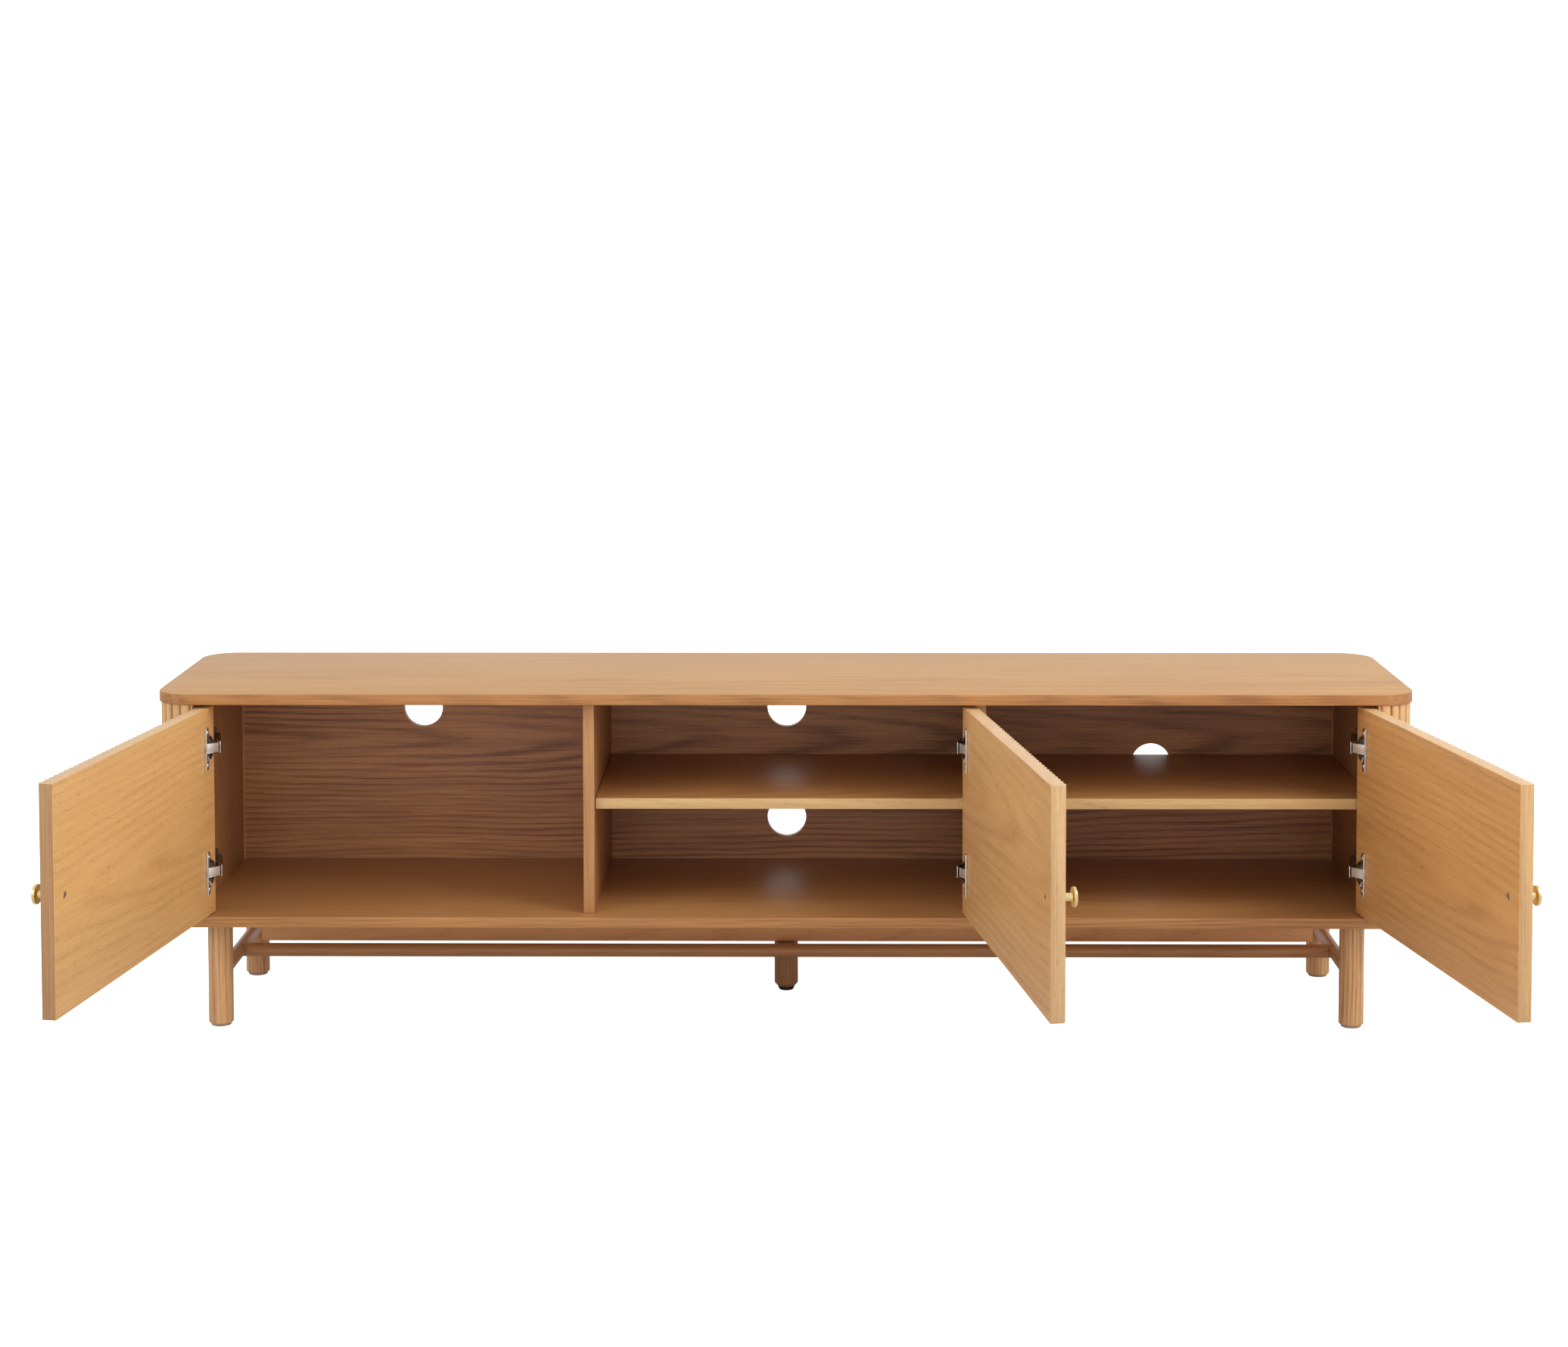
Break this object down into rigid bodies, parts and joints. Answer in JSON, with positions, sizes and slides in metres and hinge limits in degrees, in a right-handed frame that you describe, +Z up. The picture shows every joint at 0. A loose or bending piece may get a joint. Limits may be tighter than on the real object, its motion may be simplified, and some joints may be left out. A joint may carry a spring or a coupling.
{
  "type": "media cabinet",
  "caption": "Low oak media cabinet with reeded swinging doors on concealed hinges, round corners, open cable holes, turned legs with dowel stretchers and a centre support leg.",
  "frame": {"origin": "on the floor, at the middle of the levelling foot under the centre leg", "axes": "+X to the right along the cabinet's length, +Y to its back, +Z up; the doors open towards -Y"},
  "size_m": [1.8867, 0.9116, 0.492],
  "materials": {
    "oak_top": "satin oak veneer, grain along the length",
    "oak_case": "satin oak veneer",
    "oak_back": "dark satin oak veneer",
    "oak_reeded": "satin reeded oak, grain along the reeds",
    "oak_solid": "satin solid oak",
    "brass": "polished brass",
    "nickel": "polished nickel plate",
    "nickel_screw": "plated steel",
    "hinge_steel": "pressed and plated steel",
    "felt": "pressed wool felt",
    "black_plastic": "moulded, matt"
  },
  "bodies": {
    "carcass": {"back_panel": "oak_back", "beam": "oak_solid", "bottom_panel": "oak_top", "centre_leg": "oak_solid", "felt_pad_front_left": "felt", "felt_pad_front_right": "felt", "felt_pad_rear_left": "felt", "felt_pad_rear_right": "felt", "hinge_arm_left_lower": "nickel", "hinge_arm_left_upper": "nickel", "hinge_arm_middle_lower": "nickel", "hinge_arm_middle_upper": "nickel", "hinge_arm_right_lower": "nickel", "hinge_arm_right_upper": "nickel", "hinge_plate_left_lower": "hinge_steel", "hinge_plate_left_upper": "hinge_steel", "hinge_plate_middle_lower": "hinge_steel", "hinge_plate_middle_upper": "hinge_steel", "hinge_plate_right_lower": "hinge_steel", "hinge_plate_right_upper": "hinge_steel", "leg_front_left": "oak_solid", "leg_front_right": "oak_solid", "leg_rear_left": "oak_solid", "leg_rear_right": "oak_solid", "levelling_foot": "black_plastic", "long_stretcher": "oak_solid", "partition_left": "oak_case", "partition_right": "oak_case", "reeded_end_left": "oak_reeded", "reeded_end_right": "oak_reeded", "shelf_middle": "oak_case", "shelf_pin_middle_left_front": "nickel_screw", "shelf_pin_middle_left_rear": "nickel_screw", "shelf_pin_middle_right_front": "nickel_screw", "shelf_pin_middle_right_rear": "nickel_screw", "shelf_pin_right_left_front": "nickel_screw", "shelf_pin_right_left_rear": "nickel_screw", "shelf_pin_right_right_front": "nickel_screw", "shelf_pin_right_right_rear": "nickel_screw", "shelf_right": "oak_case", "side_panel_left": "oak_case", "side_panel_right": "oak_case", "side_stretcher_left": "oak_solid", "side_stretcher_right": "oak_solid", "top_panel": "oak_top"},
    "left_door": {"door_left": "oak_reeded", "knob_left": "brass", "knob_screw_left": "nickel_screw", "hinge_cup_left_lower": "nickel", "hinge_cup_left_upper": "nickel"},
    "middle_door": {"door_middle": "oak_reeded", "knob_middle": "brass", "knob_screw_middle": "nickel_screw", "hinge_cup_middle_lower": "nickel", "hinge_cup_middle_upper": "nickel"},
    "right_door": {"door_right": "oak_reeded", "knob_right": "brass", "knob_screw_right": "nickel_screw", "hinge_cup_right_lower": "nickel", "hinge_cup_right_upper": "nickel"}
  },
  "joints": [
    {"name": "left_door_hinge", "type": "hinge", "parent": "carcass", "child": "left_door", "pos_m": [-0.8271, -0.2303, 0.324], "axis": [0, 0, -1], "range_deg": [-98.54, 0]},
    {"name": "middle_door_hinge", "type": "hinge", "parent": "carcass", "child": "middle_door", "pos_m": [0.2672, -0.2345, 0.324], "axis": [0, 0, 1], "range_deg": [-98.26, 0]},
    {"name": "right_door_hinge", "type": "hinge", "parent": "carcass", "child": "right_door", "pos_m": [0.8271, -0.2303, 0.324], "axis": [0, 0, 1], "range_deg": [-99.85, 0]}
  ]
}
